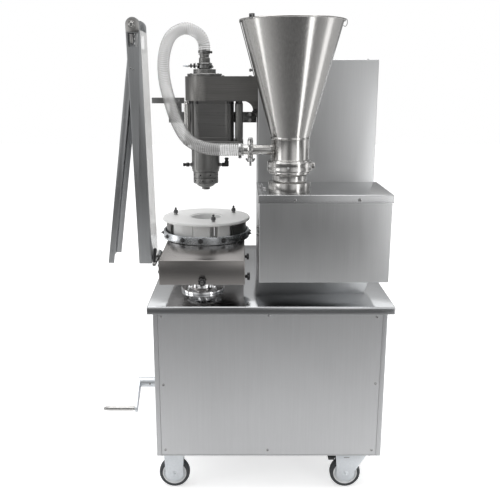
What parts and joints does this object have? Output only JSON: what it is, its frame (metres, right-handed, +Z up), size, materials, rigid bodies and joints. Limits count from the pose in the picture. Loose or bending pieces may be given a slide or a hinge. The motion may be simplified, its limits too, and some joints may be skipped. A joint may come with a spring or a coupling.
{
  "type": "capsule filler",
  "caption": "Wheeled stainless capsule filling machine with powder hopper, filling head on an arm, cranked lifting turntable, folding side guard and a clear transfer hose.",
  "frame": {"origin": "on the floor, under the middle of the object's bounding box without the hose", "axes": "+Z up, front faces -Y, hopper and feeder box on the +X side, crank and guard on the -X side"},
  "size_m": [0.913, 0.85, 1.4862],
  "materials": {
    "sheet_steel": "vertically brushed stainless sheet",
    "worktop_steel": "brushed stainless sheet",
    "housing_steel": "satin stainless sheet",
    "bracket_steel": "dark satin steel",
    "polished_steel": "polished stainless",
    "machined_steel": "turned steel",
    "column_chrome": "bright chrome",
    "head_paint": "dark grey semi-gloss enamel",
    "motor_paint": "satin enamel",
    "caster_zinc": "bright zinc plate",
    "caster_tyre": "dark grey rubber on a light grey hub",
    "black_plastic": "moulded black phenolic",
    "plate_white": "satin white acetal",
    "guard_steel": "satin steel channel",
    "crank_zinc": "zinc plated steel",
    "hose_clear": "clear PVC with a steel helix",
    "belt_rubber": "moulded belt"
  },
  "bodies": {
    "base": {"cabinet_shell": "sheet_steel", "front_panel": "sheet_steel", "worktop": "worktop_steel", "lift_bracket": "bracket_steel", "rigid_fork_front": "caster_zinc", "rigid_fork_rear": "caster_zinc", "tall_housing": "housing_steel", "feeder_box": "housing_steel", "feeder_lid": "housing_steel", "feeder_motor": "motor_paint", "hopper_base": "polished_steel", "hopper_clamp_ring": "polished_steel", "hopper": "polished_steel", "port_hose_tail": "machined_steel", "port_clamp": "machined_steel", "belt_arm": "head_paint", "inlet_fitting": "polished_steel", "inlet_clamp": "bracket_steel", "head_frame": "head_paint", "head_casing": "head_paint", "head_motor": "motor_paint", "spindle_housing": "head_paint", "drive_belt": "belt_rubber", "rear_bracket": "bracket_steel", "column_flange": "column_chrome", "transfer_hose": "hose_clear"},
    "rigid_wheel_front": {"rigid_wheel_front": "caster_tyre"},
    "rigid_wheel_rear": {"rigid_wheel_rear": "caster_tyre"},
    "swivel_front": {"swivel_fork_front": "caster_zinc"},
    "swivel_wheel_front": {"swivel_wheel_front": "caster_tyre"},
    "swivel_rear": {"swivel_fork_rear": "caster_zinc"},
    "swivel_wheel_rear": {"swivel_wheel_rear": "caster_tyre"},
    "brake_pedal": {"brake_pedal": "black_plastic"},
    "agitator": {"hopper_agitator": "machined_steel"},
    "port_wing_nut": {"port_wing_nut": "machined_steel"},
    "arm_knob": {"arm_knob": "black_plastic"},
    "spindle": {"spindle_shaft": "machined_steel", "spindle_pulley": "machined_steel", "lock_rings": "head_paint", "spindle_nose": "head_paint"},
    "motor_pulley": {"motor_pulley": "machined_steel"},
    "table": {"table_box": "housing_steel", "lift_column": "column_chrome", "table_motor": "motor_paint", "guard_bracket": "bracket_steel"},
    "lift_screw": {"lift_screw": "machined_steel"},
    "crank": {"crank": "crank_zinc"},
    "crank_grip": {"crank_grip": "crank_zinc"},
    "turntable": {"clamp_ring": "polished_steel", "capsule_drum": "plate_white", "turntable_disc": "plate_white"},
    "disc_knob_a": {"disc_knob_a": "black_plastic"},
    "disc_knob_b": {"disc_knob_b": "black_plastic"},
    "disc_knob_c": {"disc_knob_c": "black_plastic"},
    "front_knob": {"front_knob": "black_plastic"},
    "side_knob_front": {"side_knob_front": "black_plastic"},
    "side_knob_rear": {"side_knob_rear": "black_plastic"},
    "guard_lever": {"guard_lever": "black_plastic"},
    "guard_inner": {"guard_leaf_inner": "guard_steel"},
    "guard_outer": {"guard_leaf_outer": "guard_steel"}
  },
  "joints": [
    {"name": "rigid_wheel_front_roll", "type": "hinge", "parent": "base", "child": "rigid_wheel_front", "pos_m": [-0.2275, -0.305, 0.05], "axis": [0, 1, 0], "continuous": true},
    {"name": "rigid_wheel_rear_roll", "type": "hinge", "parent": "base", "child": "rigid_wheel_rear", "pos_m": [-0.2275, 0.35, 0.05], "axis": [0, 1, 0], "continuous": true},
    {"name": "swivel_front_turn", "type": "hinge", "parent": "base", "child": "swivel_front", "pos_m": [0.3715, -0.305, 0.12], "axis": [0, 0, 1], "continuous": true},
    {"name": "swivel_rear_turn", "type": "hinge", "parent": "base", "child": "swivel_rear", "pos_m": [0.3715, 0.35, 0.12], "axis": [0, 0, 1], "continuous": true},
    {"name": "swivel_wheel_front_roll", "type": "hinge", "parent": "swivel_front", "child": "swivel_wheel_front", "pos_m": [0.3335, -0.305, 0.05], "axis": [0, 1, 0], "continuous": true},
    {"name": "swivel_wheel_rear_roll", "type": "hinge", "parent": "swivel_rear", "child": "swivel_wheel_rear", "pos_m": [0.3335, 0.35, 0.05], "axis": [0, 1, 0], "continuous": true},
    {"name": "brake_pedal_press", "type": "hinge", "parent": "swivel_front", "child": "brake_pedal", "pos_m": [0.3245, -0.305, 0.108], "axis": [0, -1, 0], "range_deg": [0, 7]},
    {"name": "agitator_spin", "type": "hinge", "parent": "base", "child": "agitator", "pos_m": [0.1375, -0.273, 1.1], "axis": [0, 0, 1], "continuous": true},
    {"name": "port_wing_nut_turn", "type": "hinge", "parent": "base", "child": "port_wing_nut", "pos_m": [0.0188, -0.313, 1.0765], "axis": [0, 0, 1], "continuous": true},
    {"name": "arm_knob_turn", "type": "hinge", "parent": "base", "child": "arm_knob", "pos_m": [0.036, -0.0473, 1.206], "axis": [0, -1, 0], "continuous": true},
    {"name": "spindle_spin", "type": "hinge", "parent": "base", "child": "spindle", "pos_m": [-0.1285, -0.002, 1], "axis": [0, 0, 1], "continuous": true},
    {"name": "motor_pulley_spin", "type": "hinge", "parent": "base", "child": "motor_pulley", "pos_m": [-0.0715, -0.002, 1.26], "axis": [0, 0, 1], "continuous": true},
    {"name": "table_lift", "type": "slide", "parent": "base", "child": "table", "axis": [0, 0, 1], "range_m": [-0.02, 0.03]},
    {"name": "lift_screw_turn", "type": "hinge", "parent": "base", "child": "lift_screw", "pos_m": [-0.133, -0.188, 0.4], "axis": [0, 0, 1], "range_deg": [-1080, 1080]},
    {"name": "crank_turn", "type": "hinge", "parent": "base", "child": "crank", "pos_m": [-0.3185, -0.188, 0.314], "axis": [1, 0, 0], "range_deg": [-1080, 1080]},
    {"name": "crank_grip_spin", "type": "hinge", "parent": "crank", "child": "crank_grip", "pos_m": [-0.3985, -0.278, 0.262], "axis": [1, 0, 0], "continuous": true},
    {"name": "turntable_spin", "type": "hinge", "parent": "table", "child": "turntable", "pos_m": [-0.1285, -0.002, 0.8], "axis": [0, 0, 1], "continuous": true},
    {"name": "disc_knob_a_turn", "type": "hinge", "parent": "turntable", "child": "disc_knob_a", "pos_m": [-0.2361, 0.02087, 0.86], "axis": [0, 0, 1], "continuous": true},
    {"name": "disc_knob_b_turn", "type": "hinge", "parent": "turntable", "child": "disc_knob_b", "pos_m": [-0.03521, 0.05629, 0.86], "axis": [0, 0, 1], "continuous": true},
    {"name": "disc_knob_c_turn", "type": "hinge", "parent": "turntable", "child": "disc_knob_c", "pos_m": [-0.10003, -0.10825, 0.86], "axis": [0, 0, 1], "continuous": true},
    {"name": "front_knob_turn", "type": "hinge", "parent": "table", "child": "front_knob", "pos_m": [-0.1265, -0.34, 0.713], "axis": [0, -1, 0], "continuous": true},
    {"name": "side_knob_front_turn", "type": "hinge", "parent": "table", "child": "side_knob_front", "pos_m": [0.0115, -0.3, 0.718], "axis": [1, 0, 0], "continuous": true},
    {"name": "side_knob_rear_turn", "type": "hinge", "parent": "table", "child": "side_knob_rear", "pos_m": [0.0115, -0.18, 0.75], "axis": [1, 0, 0], "continuous": true},
    {"name": "guard_lever_turn", "type": "hinge", "parent": "table", "child": "guard_lever", "pos_m": [-0.2685, -0.345, 0.77], "axis": [0, -1, 0], "range_deg": [-75, 75]},
    {"name": "guard_inner_tilt", "type": "hinge", "parent": "table", "child": "guard_inner", "pos_m": [-0.2685, -0.24, 0.77], "axis": [0, -1, 0], "range_deg": [0, 35]},
    {"name": "guard_outer_swing", "type": "hinge", "parent": "guard_inner", "child": "guard_outer", "pos_m": [-0.3165, -0.24, 1.4557], "axis": [0, 1, 0], "range_deg": [-3, 95]}
  ],
  "couplings": [
    {"joint": "lift_screw_turn", "follows": "table_lift", "rad_per_m": 314.16},
    {"joint": "crank_turn", "follows": "table_lift", "rad_per_m": 314.16},
    {"joint": "motor_pulley_spin", "follows": "spindle_spin", "ratio": 1.75}
  ]
}
